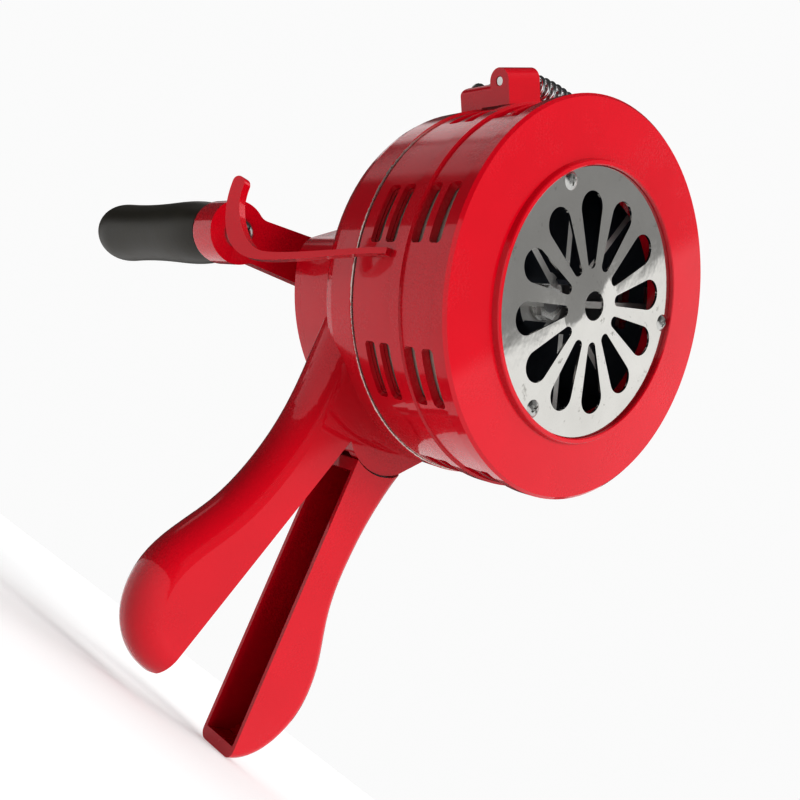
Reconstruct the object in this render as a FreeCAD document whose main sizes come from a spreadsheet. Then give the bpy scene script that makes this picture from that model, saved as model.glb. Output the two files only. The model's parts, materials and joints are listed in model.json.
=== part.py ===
"""Hand crank siren: a drum with a spinning rotor, a shutter ring, a geared crank and a folding leg.

Millimetres. The origin is the middle of the front face, the drum's axis runs along Y with the
front facing -Y, and +Z is up when the handle points straight down. Angles round the drum count
from +Z towards +X.
"""
import FreeCAD, Part
import math
import os
import Sketcher
from FreeCAD import Placement, Rotation, Vector

NAME_OF_SHEET = "Sizes"
Y_AXIS = Vector(0, 1, 0)
ORIGIN = Vector(0, 0, 0)

# Driving dimensions, in millimetres, degrees and counts.
DRIVING = [
    ("cover_radius", 80.6), ("cover_depth", 6.3), ("intake_radius", 46.0), ("lip_base", 57.0),
    ("lip_crest", 56.4), ("lip_bore", 54.3), ("lip_height", 2.5), ("plate_seat", 0.5),
    ("spigot_radius", 75.4), ("spigot_wall", 2.6), ("spigot_depth", 2.5),
    ("rim_round", 1.2),
    ("grille_radius", 54.0), ("grille_thickness", 1.0), ("petal_count", 12), ("petal_turn", 6.9),
    ("petal_outer_radius", 38.45), ("petal_outer_end", 6.45), ("petal_inner_radius", 17.2),
    ("petal_inner_end", 2.3), ("dish_radius", 17.0), ("dish_rise", 1.3), ("grille_hole", 5.9), ("screw_circle", 50.7), ("screw_count", 3),
    ("screw_first_angle", -67.7), ("screw_shank", 2.0), ("screw_head", 3.6), ("screw_head_height", 1.9),
    ("drum_radius", 79.2), ("drum_bore", 75.6), ("collar_radius", 80.2), ("collar_front", 25.3),
    ("collar_back", 31.7), ("seat_radius", 76.9), ("drum_back", 55.3),
    ("window_count", 8), ("window_turn", 0.9), ("window_angle", 17.4), ("window_width", 6.2), ("window_corner", 1.9),
    ("window_row_a", 11.9), ("window_row_b", 21.8), ("window_row_c", 36.5), ("window_row_d", 45.4),
    ("ring_radius", 79.3), ("ring_bore", 77.2), ("ring_front", 32.1), ("ring_back", 54.9),
    ("casing_radius", 80.1), ("casing_front", 55.4), ("casing_round", 69.0), ("casing_step", 77.0),
    ("bulkhead_back", 60.0), ("casing_wall", 4.0), ("gear_top_radius", 41.0), ("gear_low_radius", 75.2),
    ("gear_corner_angle", 61.0), ("gear_corner_round", 12.0), ("gear_back", 98.0), ("gear_wall", 4.0),
    ("cover_plate", 4.5), ("crank_boss_radius", 16.0), ("crank_boss_back", 112.0),
    ("bearing_radius", 11.0), ("bearing_bore", 4.0), ("bearing_width", 7.0), ("bearing_a", 56.4),
    ("bearing_b", 68.4), ("bearing_hub_radius", 15.0), ("bearing_hub_back", 75.6),
    ("rotor_radius", 75.0), ("rotor_rim", 3.2), ("rotor_front", 10.0), ("rotor_back", 52.6),
    ("rotor_disc", 3.0), ("rotor_hub", 13.6), ("hub_front", 26.0), ("vane_turn", 45.4), ("vane_count", 8), ("vane_thickness", 3.0),
    ("shaft_radius", 3.97), ("rotor_shaft_front", 20.5), ("rotor_shaft_back", 84.6),
    ("lay_angle", 207.0), ("lay_front", 62.6), ("lay_back", 101.0), ("lay_boss_radius", 10.0),
    ("lay_boss_back", 69.5), ("bush_wall", 2.5), ("bush_length", 6.5),
    ("gear_module", 1.0), ("wheel_teeth", 60), ("pinion_teeth", 15), ("gear_width", 7.0),
    ("pinion_extra", 1.0), ("rotor_mesh", 77.0), ("crank_mesh", 87.4),
    ("crank_shaft_radius", 5.95), ("crank_shaft_front", 86.0), ("crank_shaft_back", 137.0),
    ("crank_bush_wall", 3.0), ("crank_bush_length", 16.0), ("crank_thread", 4.9),
    ("crank_reach", 96.2), ("crank_angle", -121.5), ("arm_front", 119.6), ("arm_thickness", 8.0),
    ("arm_root", 10.3), ("arm_tip", 8.8), ("arm_root_low", 17.6), ("arm_tip_low", 10.2),
    ("hub_radius", 13.6), ("hub_length", 18.0), ("hub_round", 2.6),
    ("pivot_hub_radius", 17.8), ("grip_radius", 14.2), ("grip_neck", 12.6), ("grip_length", 113.5),
    ("grip_bolt_radius", 3.0), ("grip_bolt_head", 6.4), ("grip_bore", 3.07),
    ("handle_front", 64.4), ("handle_back", 87.2), ("handle_round", 10.6), ("parting", -5.7),
    ("leg_pivot_x", 6.0), ("leg_pivot_z", -71.0), ("leg_open", 18.5), ("leg_wall", 1.9), ("leg_round", 4.0), ("leg_front", 63.2), ("leg_back", 88.4),
    ("skirt_radius", 24.8), ("skirt_angle", 52.0), ("leg_half", 11.3), ("leg_pin_radius", 3.0), ("hinge_boss", 11.8), ("tongue_radius", 7.4),
    ("tongue_half", 5.0), ("tongue_front", 69.6), ("tongue_back", 82.4), ("leg_swing", 12.0),
    ("lever_angle", -122.6), ("lever_flare", 29.0), ("lever_start", 82.0), ("lever_base", 36.8), ("lever_thickness", 4.6),
    ("spring_circle", 90.0), ("spring_outer", 5.25), ("wire_radius", 0.85), ("spring_turns", 19),
    ("spring_start", -42.6), ("spring_end", 2.0), ("spring_row", 45.2), ("spring_rod", 1.75),
    ("lug_start", -55.0), ("lug_length", 19.0), ("lug_width", 10.4), ("lug_bore", 1.9),
    ("bracket_back", 68.5), ("bracket_top", 89.6), ("ring_lug_length", 8.0),
]


class Size:
    """A number that also remembers the sheet expression it came from."""

    def __init__(self, value, text=None):
        self.value = float(value)
        self.text = text or repr(float(value))

    def join(self, other, sign, value):
        return Size(value, "(" + self.text + " " + sign + " " + sized(other).text + ")")

    def __add__(self, other):
        return self.join(other, "+", self.value + sized(other).value)

    def __sub__(self, other):
        return self.join(other, "-", self.value - sized(other).value)

    def __mul__(self, other):
        return self.join(other, "*", self.value * sized(other).value)

    def __truediv__(self, other):
        return self.join(other, "/", self.value / sized(other).value)

    def __neg__(self):
        return Size(-self.value, "(0 - " + self.text + ")")


def sized(value):
    """Turn a plain number into a Size."""
    return value if isinstance(value, Size) else Size(value)


document = FreeCAD.newDocument("hand_crank_siren")
sheet = document.addObject("Spreadsheet::Sheet", NAME_OF_SHEET)
for row, (alias, number) in enumerate(DRIVING, start=1):
    sheet.set("A" + str(row), alias)
    sheet.set("B" + str(row), str(number))
    sheet.setAlias("B" + str(row), alias)
document.recompute()
dim = {alias: Size(number, NAME_OF_SHEET + "." + alias) for alias, number in DRIVING}
val = {alias: float(number) for alias, number in DRIVING}
subparts = []


def keep(item, label):
    """Give a finished sub-part its name and remember it for export."""
    item.Label = label
    subparts.append(item)
    return item


def plane_of(body, role):
    """One of a body's own origin planes."""
    return [part for part in body.Origin.OriginFeatures if part.Role == role][0]


def closed_outline(sketch, points):
    """Draw a closed outline of straight lines whose corners are bound to the sheet."""
    count = len(points)
    corners = [Vector(sized(a).value, sized(b).value, 0) for a, b in points]
    for index in range(count):
        sketch.addGeometry(Part.LineSegment(corners[index], corners[(index + 1) % count]), False)
    for index in range(count):
        sketch.addConstraint(Sketcher.Constraint("Coincident", index, 2, (index + 1) % count, 1))
    for index, point in enumerate(points):
        for kind, size in zip(("DistanceX", "DistanceY"), point):
            size = sized(size)
            number = sketch.addConstraint(Sketcher.Constraint(kind, -1, 1, index, 1, size.value))
            sketch.setExpression("Constraints[" + str(number) + "]", size.text)


def turned(label, points, final=True):
    """A body turned about the Y axis from an outline of (radius, Y) corners."""
    body = document.addObject("PartDesign::Body", label + "_body" if not final else label)
    sketch = body.newObject("Sketcher::SketchObject", label + "_profile")
    sketch.AttachmentSupport = [(plane_of(body, "XY_Plane"), "")]
    sketch.MapMode = "FlatFace"
    closed_outline(sketch, points)
    turn = body.newObject("PartDesign::Revolution", label + "_turn")
    turn.Profile = sketch
    turn.ReferenceAxis = (sketch, ["V_Axis"])
    turn.Angle = 360.0
    body.Tip = turn
    document.recompute()
    return keep(body, label) if final else body


def solid_feature(name, shape):
    """A feature whose shape is worked out in this file."""
    item = document.addObject("Part::Feature", name)
    item.Shape = shape
    return item


def worked(label, shape):
    """A finished sub-part whose shape is worked out in this file."""
    return keep(solid_feature(label, shape), label)


def cut_from(label, base, tool_shape):
    """A finished sub-part made by cutting one worked-out tool shape from a base object."""
    item = document.addObject("Part::Cut", label)
    item.Base = base
    item.Tool = solid_feature(label + "_tool", tool_shape)
    document.recompute()
    return keep(item, label)


def round_point(radius, angle, along=0.0):
    """The point at a radius and an angle round the drum's axis."""
    turn = math.radians(angle)
    return Vector(radius * math.sin(turn), along, radius * math.cos(turn))


def rod_y(radius, start, end, centre=ORIGIN):
    """A cylinder along Y between two depths."""
    return Part.makeCylinder(radius, end - start, Vector(centre.x, start, centre.z), Y_AXIS)


def tube_y(outer, inner, start, end, centre=ORIGIN):
    """A plain tube along Y."""
    return rod_y(outer, start, end, centre).cut(rod_y(inner, start - 1, end + 1, centre))


def slab_y(points, start, end):
    """A flat slab cut to an outline of (X, Z) corners and reaching from one depth to another."""
    corners = [Vector(x, start, z) for x, z in points]
    wire = Part.makePolygon(corners + corners[:1])
    return Part.Face(wire).extrude(Vector(0, end - start, 0))


def curved_slab(curve_points, closing, start, end):
    """A slab whose outline is one smooth curve, closed by lines and by arcs given as (middle, end)."""
    curve = Part.BSplineCurve()
    curve.interpolate([Vector(x, start, z) for x, z in curve_points])
    edges = [curve.toShape()]
    here = Vector(curve_points[-1][0], start, curve_points[-1][1])
    for stop in closing + [curve_points[0]]:
        if isinstance(stop[0], tuple):
            middle, there = [Vector(x, start, z) for x, z in stop]
            edges.append(Part.Arc(here, middle, there).toShape())
        else:
            there = Vector(stop[0], start, stop[1])
            edges.append(Part.LineSegment(here, there).toShape())
        here = there
    return Part.Face(Part.Wire(edges)).extrude(Vector(0, end - start, 0))


def round_about(shape, angle):
    """A copy of a shape turned about the drum's axis by an angle counted from +Z towards +X."""
    copy = shape.copy()
    copy.rotate(ORIGIN, Y_AXIS, angle)
    return copy


def window_tools(rows, inner, outer):
    """Cutters for every window of the given rows, with rounded corners."""
    half = val["window_width"] / 2
    spread = val["window_angle"]
    cutters = []
    for row in rows:
        corners = [Vector(inner, row - half, 0), Vector(outer, row - half, 0),
                   Vector(outer, row + half, 0), Vector(inner, row + half, 0)]
        face = Part.Face(Part.makePolygon(corners + corners[:1]))
        wedge = face.revolve(ORIGIN, Y_AXIS, spread)
        radial = [edge for edge in wedge.Edges
                  if edge.Curve.TypeId == "Part::GeomLine" and abs(edge.Length - (outer - inner)) < 0.01]
        wedge = wedge.makeFillet(val["window_corner"], radial)
        wedge.rotate(ORIGIN, Y_AXIS, -spread / 2 - 90)
        cutters.append(wedge)
    step = 360.0 / val["window_count"]
    return Part.makeCompound([round_about(cutter, step * (index + 0.5) + val["window_turn"])
                              for index in range(int(val["window_count"])) for cutter in cutters])


def tooth_points(teeth, root, tip, base, pitch):
    """One involute tooth, from the middle of a gap over the tip to the middle of the next gap."""
    def flank(radius):
        ratio = min(1.0, base / radius)
        pressure = math.acos(ratio)
        return math.tan(pressure) - pressure
    half = math.pi / (2 * teeth) - 0.012 + flank(pitch)
    steps = [max(base, root) + (tip - max(base, root)) * k / 4 for k in range(5)]
    rising = [(radius, -(half - flank(radius))) for radius in steps]
    falling = [(radius, -angle) for radius, angle in reversed(rising)]
    edge = math.pi / teeth
    start = [(root, -edge), (root, rising[0][1])]
    return start + rising + falling + [(root, falling[-1][1])]


def spur_gear(teeth, bore, start, width, centre, phase):
    """An involute spur gear along Y: every tooth is the same outline turned round the centre."""
    module = val["gear_module"]
    pitch = teeth * module / 2
    base = pitch * math.cos(math.radians(20))
    outline = tooth_points(teeth, pitch - 1.2 * module, pitch + 0.95 * module, base, pitch)
    corners = []
    for tooth in range(int(teeth)):
        middle = 2 * math.pi * tooth / teeth + phase
        for radius, angle in outline:
            corner = Vector(centre.x + radius * math.sin(middle + angle), start,
                            centre.z + radius * math.cos(middle + angle))
            if not corners or corners[-1].distanceToPoint(corner) > 0.01:
                corners.append(corner)
    face = Part.Face(Part.makePolygon(corners + corners[:1]))
    blank = face.extrude(Vector(0, width, 0))
    return blank.cut(rod_y(bore, start - 1, start + width + 1, centre))


def casing_outline(inset):
    """The gear housing's outline: a low wide arc, two straight sides and a narrow round top."""
    low = val["gear_low_radius"] - inset
    top = val["gear_top_radius"] - inset
    corner_angle = 180 - val["gear_corner_angle"] + math.degrees(inset / low)
    corner = round_point(low, corner_angle)
    lean = math.degrees(math.acos(top / low))
    touch_angle = corner_angle - lean
    touch = round_point(top, touch_angle)
    mirror = lambda point: Vector(-point.x, point.y, point.z)
    arcs = [
        Part.Arc(corner, round_point(low, 180), mirror(corner)).toShape(),
        Part.LineSegment(mirror(corner), mirror(touch)).toShape(),
        Part.Arc(mirror(touch), round_point(top, 0), touch).toShape(),
        Part.LineSegment(touch, corner).toShape(),
    ]
    return Part.Wire(arcs)


def casing_block(inset, start, end):
    """A block of the gear housing's outline with its two lower corners rounded."""
    block = Part.Face(casing_outline(inset)).extrude(Vector(0, end - start, 0))
    block.translate(Vector(0, start, 0))
    upright = [edge for edge in block.Edges
               if edge.Curve.TypeId == "Part::GeomLine" and abs(edge.Length - (end - start)) < 0.01
               and edge.CenterOfMass.z < -20]
    return block.makeFillet(max(1.0, val["gear_corner_round"] - inset), upright)


def screw_angles():
    """The three grille screws' angles."""
    return [val["screw_first_angle"] + 360.0 * k / val["screw_count"] for k in range(int(val["screw_count"]))]


def make_front_cover():
    """The front cover: a heavy ring with a bevelled recess for the grille and a spigot behind."""
    edge = 0.4
    body = turned("front_cover_blank", [
        (dim["intake_radius"], dim["plate_seat"]),
        (dim["lip_bore"], dim["plate_seat"]),
        (dim["lip_bore"], -dim["lip_height"] + edge),
        (dim["lip_bore"] + edge, -dim["lip_height"]),
        (dim["lip_crest"] - edge, -dim["lip_height"]),
        (dim["lip_crest"], -dim["lip_height"] + edge),
        (dim["lip_base"], 0),
        (dim["cover_radius"] - dim["rim_round"], 0),
        (dim["cover_radius"], dim["rim_round"]),
        (dim["cover_radius"], dim["cover_depth"]),
        (dim["spigot_radius"], dim["cover_depth"]),
        (dim["spigot_radius"], dim["cover_depth"] + dim["spigot_depth"]),
        (dim["spigot_radius"] - dim["spigot_wall"], dim["cover_depth"] + dim["spigot_depth"]),
        (dim["spigot_radius"] - dim["spigot_wall"], dim["cover_depth"]),
        (dim["intake_radius"], dim["cover_depth"] - 1),
    ], final=False)
    holes = [rod_y(val["screw_shank"], val["plate_seat"] - 1, val["cover_depth"] + 1,
                   round_point(val["screw_circle"], angle)) for angle in screw_angles()]
    cut_from("front_cover", body, Part.makeCompound(holes))


def petal(angle):
    """One teardrop opening of the grille: a large outer end and a small inner end, joined by tangents."""
    big, small = val["petal_outer_end"], val["petal_inner_end"]
    far, near = val["petal_outer_radius"], val["petal_inner_radius"]
    lean = math.asin((big - small) / (far - near))
    side = Vector(math.cos(lean), 0, -math.sin(lean))
    front = val["plate_seat"] - val["grille_thickness"] - 2
    big_side = Vector(0, front, far) + side * big
    small_side = Vector(0, front, near) + side * small
    flip = lambda point: Vector(-point.x, point.y, point.z)
    edges = [
        Part.Arc(big_side, Vector(0, front, far + big), flip(big_side)).toShape(),
        Part.LineSegment(flip(big_side), flip(small_side)).toShape(),
        Part.Arc(flip(small_side), Vector(0, front, near - small), small_side).toShape(),
        Part.LineSegment(small_side, big_side).toShape(),
    ]
    tool = Part.Face(Part.Wire(edges)).extrude(Vector(0, val["grille_thickness"] + 4, 0))
    return round_about(tool, angle)


def make_grille_plate():
    """The polished plate: twelve teardrop openings, screw holes, and a centre hole in a raised middle."""
    back = dim["plate_seat"] - 0.02
    front = dim["plate_seat"] - dim["grille_thickness"]
    spans = [0.0, 0.2, 0.4, 0.6, 0.8, 1.0]
    swell = [(dim["grille_hole"] + (dim["dish_radius"] - dim["grille_hole"]) * share,
              dim["dish_rise"] * (0.5 + 0.5 * math.cos(math.pi * share))) for share in spans]
    body = turned("grille_blank", [(radius, front - rise) for radius, rise in swell] + [
        (dim["grille_radius"], front), (dim["grille_radius"], back)] + [
        (radius, back - rise) for radius, rise in reversed(swell)], final=False)
    tools = [petal(360.0 * k / val["petal_count"] + val["petal_turn"]) for k in range(int(val["petal_count"]))]
    tools += [rod_y(val["screw_shank"] + 0.2, -2, val["plate_seat"] + 1,
                    round_point(val["screw_circle"], angle)) for angle in screw_angles()]
    cut_from("grille_plate", body, Part.makeCompound(tools))


def cross_recess(radius, depth):
    """The cross-shaped driver recess of a pan head that faces -Y."""
    arm = Part.makeBox(2 * radius, depth, 0.9, Vector(-radius, 0, -0.45))
    other = Part.makeBox(0.9, depth, 2 * radius, Vector(-0.45, 0, -radius))
    return arm.fuse(other)


def pan_screw(shank, length, head, height):
    """A pan head screw along +Y with its head below Y = 0, domed, with a cross recess."""
    dome_radius = (head * head + height * height) / (2 * height)
    dome = Part.makeSphere(dome_radius, Vector(0, dome_radius - height, 0))
    cap = dome.common(rod_y(head, -height - 1, 0))
    body = cap.fuse(rod_y(shank, -0.05, length)).removeSplitter()
    recess = cross_recess(head * 0.55, height)
    recess.translate(Vector(0, -height - 0.4, 0))
    return body.cut(recess)


def screw_group(label, pattern, places):
    """Identical screws as separate solids of one node: each place is a rotation and a position."""
    copies = []
    for rotation, position in places:
        copy = pattern.copy()
        copy.Placement = Placement(position, rotation)
        copies.append(copy)
    return worked(label, Part.makeCompound(copies))


def make_grille_screws():
    """Three pan head screws that hold the grille to the front cover."""
    front = val["plate_seat"] - val["grille_thickness"] - 0.01
    pattern = pan_screw(val["screw_shank"] - 0.01, val["cover_depth"] - front - 0.6,
                        val["screw_head"], val["screw_head_height"] * 0.7)
    screw_group("grille_screws", pattern,
                [(Rotation(Y_AXIS, angle + 20), round_point(val["screw_circle"], angle, front))
                 for angle in screw_angles()])


def make_stator_drum():
    """The fixed drum: a thick windowed front band, a collar and a thin windowed seat for the ring."""
    front = dim["cover_depth"] + 0.02
    body = turned("stator_blank", [
        (dim["drum_bore"], front), (dim["drum_radius"], front),
        (dim["drum_radius"], dim["collar_front"]), (dim["collar_radius"], dim["collar_front"] + 0.4),
        (dim["collar_radius"] , dim["collar_back"] - 0.4), (dim["collar_radius"] - 0.4, dim["collar_back"]),
        (dim["seat_radius"], dim["collar_back"]),
        (dim["seat_radius"], dim["drum_back"]), (dim["drum_bore"], dim["drum_back"]),
    ], final=False)
    rows = [val["window_row_a"], val["window_row_b"], val["window_row_c"], val["window_row_d"]]
    cut_from("stator_drum", body, window_tools(rows, val["drum_bore"] - 3, val["cover_radius"] + 3))


def radial_frame(angle, tilt=0.0):
    """A rotation that sends +X round the drum, +Y rearwards and +Z outwards at an angle."""
    return Rotation(Y_AXIS, angle).multiply(Rotation(Vector(1, 0, 0), tilt))


def make_shutter_ring():
    """The turning ring that opens and shuts the rear windows, with the lug that the spring pushes."""
    body = turned("ring_blank", [
        (dim["ring_bore"], dim["ring_front"]), (dim["ring_radius"] - 0.3, dim["ring_front"]),
        (dim["ring_radius"], dim["ring_front"] + 0.3), (dim["ring_radius"], dim["ring_back"] - 0.3),
        (dim["ring_radius"] - 0.3, dim["ring_back"]), (dim["ring_bore"], dim["ring_back"]),
    ], final=False)
    half = val["lug_width"] / 2
    low = val["ring_bore"] + 1
    height = val["spring_circle"] - low
    length = val["ring_lug_length"]
    block = Part.makeBox(length, 2 * half, height, Vector(0, -half, low))
    cap = Part.makeCylinder(half, length, Vector(0, 0, val["spring_circle"]), Vector(1, 0, 0))
    lug = block.fuse(cap).removeSplitter()
    lug.Placement = Placement(Vector(0, val["spring_row"], 0), Rotation(Y_AXIS, val["spring_end"]))
    lug = lug.cut(arc_rod(val["spring_rod"] - 0.04, val["spring_end"] - 2, val["spring_end"] + 8))
    ring = document.addObject("Part::MultiFuse", "ring_with_lug")
    ring.Shapes = [body, solid_feature("ring_lug", lug)]
    document.recompute()
    rows = [val["window_row_c"], val["window_row_d"]]
    tools = window_tools(rows, val["ring_bore"] - 2, val["ring_radius"] + 1)
    cut_from("shutter_ring", ring, Part.makeCompound([tools] + rivet_solids(0.82, 1.32)))


def lever_point(along, round_drum, outwards):
    """A point of the lever: along its flared run, round the drum and square to both."""
    flare = math.radians(val["lever_flare"])
    angle = math.radians(val["lever_angle"])
    out = Vector(math.sin(angle), 0, math.cos(angle))
    tangent = Vector(math.cos(angle), 0, -math.sin(angle))
    run = Y_AXIS * math.cos(flare) + out * math.sin(flare)
    square = Y_AXIS * (-math.sin(flare)) + out * math.cos(flare)
    base = Y_AXIS * val["lever_base"] + out * val["lever_start"]
    return base + run * along + tangent * round_drum + square * outwards


def lever_slab(curves, lines, inner, outer):
    """A slab in the lever's flared plane, bounded by smooth curves and straight lines."""
    edges = []
    for curve in curves:
        points = [lever_point(a, b, inner) for a, b in curve]
        spline = Part.BSplineCurve()
        spline.interpolate(points)
        edges.append(spline.toShape())
    for start, end in lines:
        edges.append(Part.LineSegment(lever_point(*start, inner), lever_point(*end, inner)).toShape())
    wire = Part.Wire(Part.sortEdges(edges)[0])
    return Part.Face(wire).extrude(lever_point(0, 0, outer) - lever_point(0, 0, inner))


def lever_turn():
    """The rotation that brings a piece drawn at the top of the drum to the lever's foot."""
    return Rotation(Y_AXIS, val["lever_angle"] - 0.7)


def rivet_solids(shank, head):
    """The lever's two rivets with given shank and head radii."""
    low = val["ring_bore"] + 0.2
    top = val["ring_radius"] + 2.6
    solids = []
    for step in (4.6, 10.6):
        along = val["ring_front"] + step
        rivet = Part.makeCylinder(shank, top - low + 0.4, Vector(0, along, low), Vector(0, 0, 1))
        rivet = rivet.fuse(Part.makeCylinder(head, 0.9, Vector(0, along, top), Vector(0, 0, 1))).removeSplitter()
        rivet.Placement = Placement(ORIGIN, lever_turn())
        solids.append(rivet)
    return solids


def make_shutter_lever():
    """The thumb lever: a foot on the ring, a flat run that flares outwards and a hooked thumb rest."""
    half = val["lever_thickness"] / 2
    top = [(-2.8, 0.4), (18.0, -3.6), (31.5, -6.4), (44.0, -8.4), (51.0, -8.2), (56.6, -4.6), (60.4, 1.0),
           (62.6, 7.0), (62.9, 13.0), (61.8, 18.2)]
    back = [(67.2, 19.4), (68.6, 10.5), (67.6, 1.0), (63.9, -6.9), (58.0, -11.2), (50.0, -12.2),
            (44.0, -11.5), (31.5, -9.1), (18.0, -6.0), (-2.8, -1.9)]
    hook = lever_slab([top, back], [((61.8, 18.2), (67.2, 19.4)), ((-2.8, -1.9), (-2.8, 0.4))], -half, half)
    tip_edges = [edge for edge in hook.Edges if edge.Curve.TypeId == "Part::GeomLine"
                 and abs(edge.Length - 2 * half) < 0.01 and edge.CenterOfMass.y > val["gear_back"] - 14]
    hook = hook.makeFillet(2.6, tip_edges)
    foot = Part.makeBox(3.0, 13.0, 4.2, Vector(-1.5, val["ring_front"] + 2.0, val["ring_radius"] - 1.6))
    foot.Placement = Placement(ORIGIN, lever_turn())
    body = hook.fuse(foot).removeSplitter()
    drum = rod_y(val["ring_radius"] + 0.02, 0, val["gear_back"])
    behind = rod_y(val["casing_radius"] + 0.3, val["ring_back"], val["gear_back"])
    before = rod_y(val["collar_radius"] + 0.4, 0, val["ring_front"] + 0.02)
    body = body.cut([drum, behind, before] + rivet_solids(1.22, 2.12))
    worked("shutter_lever", body)


def make_lever_rivets():
    """Two small rivets that hold the lever's foot to the ring."""
    worked("lever_rivets", Part.makeCompound(rivet_solids(0.8, 1.3)))


def arc_rod(radius, start, end):
    """A round bar bent along the spring's arc, between two angles round the drum."""
    spots = [round_point(val["spring_circle"], angle, val["spring_row"])
             for angle in (start, (start + end) / 2, end)]
    arc = Part.Arc(*spots).toShape()
    circle = Part.Circle(spots[0], arc.tangentAt(arc.FirstParameter), radius).toShape()
    pipe = Part.BRepOffsetAPI.MakePipeShell(Part.Wire([arc]))
    pipe.add(Part.Wire(circle))
    pipe.build()
    pipe.makeSolid()
    return pipe.shape()


def make_spring_bracket():
    """The block on the casing whose lug reaches forwards over the ring and holds the spring."""
    length = val["lug_length"]
    half = val["lug_width"] / 2
    row = val["spring_row"]
    low = val["ring_radius"] + 1.4
    centre = val["spring_circle"]
    lug = Part.makeBox(length, 2 * half, centre - low, Vector(0, row - half, low))
    cap = Part.makeCylinder(half, length, Vector(0, row, centre), Vector(1, 0, 0))
    base_front = val["casing_front"] + 0.6
    block = Part.makeBox(length, val["bracket_back"] - row, val["bracket_top"] - low, Vector(0, row, low))
    seat = Part.makeBox(length, val["bracket_back"] - base_front, low - val["casing_radius"] + 2.2,
                        Vector(0, base_front, val["casing_radius"] - 2.0))
    body = lug.fuse([cap, block, seat]).removeSplitter()
    top_edges = [edge for edge in body.Edges if abs(edge.CenterOfMass.z - val["bracket_top"]) < 0.01
                 and (edge.CenterOfMass.x < 0.1 or edge.CenterOfMass.y > val["bracket_back"] - 0.1)]
    body = body.makeFillet(3.0, top_edges)
    body.Placement = Placement(ORIGIN, Rotation(Y_AXIS, val["lug_start"]))
    body = body.cut(arc_rod(val["lug_bore"], val["lug_start"] - 5, val["spring_start"] + 5))
    casing = rod_y(val["casing_radius"] + 0.02, val["casing_front"] - 1, val["casing_step"] + 1)
    body = body.cut(casing)
    holes = [bracket_screw_axis(place) for place in BRACKET_SCREWS]
    worked("spring_bracket", body.cut(Part.makeCompound(holes)))


BRACKET_SCREWS = [(5.0, 62.5), (14.0, 62.5)]


def bracket_screw_axis(place):
    """The clearance hole of one bracket screw, from the casing out through the block."""
    hole = Part.makeCylinder(1.6, 14, Vector(place[0], place[1], val["casing_radius"] - 3.6), Vector(0, 0, 1))
    hole.Placement = Placement(ORIGIN, Rotation(Y_AXIS, val["lug_start"]))
    return hole


def make_bracket_screws():
    """Two pan head screws through the block into the casing."""
    pattern = pan_screw(1.59, 12.6, 2.9, 1.6)
    upright = Rotation(Vector(1, 0, 0), -90)
    places = []
    for across, along in BRACKET_SCREWS:
        frame = Rotation(Y_AXIS, val["lug_start"])
        spot = frame.multVec(Vector(across, along, val["bracket_top"] + 0.01))
        places.append((frame.multiply(upright), spot))
    screw_group("bracket_screws", pattern, places)


def spring_point(turn_share, offset):
    """A point of the coil: round the drum by its share of the arc, and round the wire's own circle."""
    start, end = val["spring_start"], val["spring_end"]
    angle = start + (end - start) * turn_share
    phase = 2 * math.pi * val["spring_turns"] * turn_share + offset
    coil = val["spring_outer"] - val["wire_radius"]
    return round_point(val["spring_circle"] + coil * math.cos(phase), angle,
                       val["spring_row"] + coil * math.sin(phase))


def make_return_spring():
    """The return spring: one round wire coiled along an arc, swept on two arcs for each half turn."""
    halves = int(2 * val["spring_turns"])
    margin = 0.022
    share = lambda step: margin + (1 - 2 * margin) * step / (4.0 * halves)
    edges = []
    for step in range(0, 4 * halves, 2):
        points = [spring_point(share(step + k), 0) for k in range(3)]
        edges.append(Part.Arc(*points).toShape())
    path = Part.Wire(edges)
    first = edges[0]
    tangent = first.tangentAt(first.FirstParameter)
    circle = Part.Wire(Part.Circle(first.valueAt(first.FirstParameter), tangent, val["wire_radius"]).toShape())
    pipe = Part.BRepOffsetAPI.MakePipeShell(path)
    pipe.add(circle)
    pipe.build()
    pipe.makeSolid()
    spring = pipe.shape()
    samples = [spring_point(k / (40.0 * val["spring_turns"]), 0) for k in range(int(40 * val["spring_turns"]) + 1)]
    gap = min(samples[i].distanceToPoint(samples[j]) for i in range(0, len(samples), 4)
              for j in range(i + 20, min(i + 61, len(samples)))) - 2 * val["wire_radius"]
    print("return_spring: %d turns, least gap to itself %.2f mm, volume %.1f of %.1f mm3"
          % (val["spring_turns"], gap, spring.Volume, path.Length * math.pi * val["wire_radius"] ** 2))
    worked("return_spring", spring)


def make_spring_rod():
    """The guide rod inside the spring: an arc from the bracket's lug to the ring's lug."""
    worked("spring_rod", arc_rod(val["spring_rod"] - 0.05, val["lug_start"] + 0.2, val["spring_end"] + 4.6))


FIXED_HANDLE_BACK = [(-46.7, -56.8), (-38.5, -78.8), (-33.4, -95.1), (-30.2, -111.6), (-29.2, -128.1),
                     (-31.3, -148.7), (-36.5, -166.7), (-38.6, -180.9), (-35.8, -194.8), (-29.0, -205.3),
                     (-18.9, -212.2), (-8.0, -214.6)]


def leg_pivot():
    """Where the leg's hinge crosses the plane Y = 0."""
    return Vector(val["leg_pivot_x"], 0, val["leg_pivot_z"])


def leg_place(down, out):
    """A point of the open leg in (X, Z), measured down and outwards from its pivot."""
    lean = math.radians(val["leg_open"])
    return (val["leg_pivot_x"] + down * math.sin(lean) + out * math.cos(lean),
            val["leg_pivot_z"] - down * math.cos(lean) + out * math.sin(lean))


def hinge_spot(radius, degrees):
    """A point (X, Z) about the leg's hinge, by its angle from straight down towards +X."""
    angle = math.radians(degrees)
    return (val["leg_pivot_x"] + radius * math.sin(angle), val["leg_pivot_z"] - radius * math.cos(angle))


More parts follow.
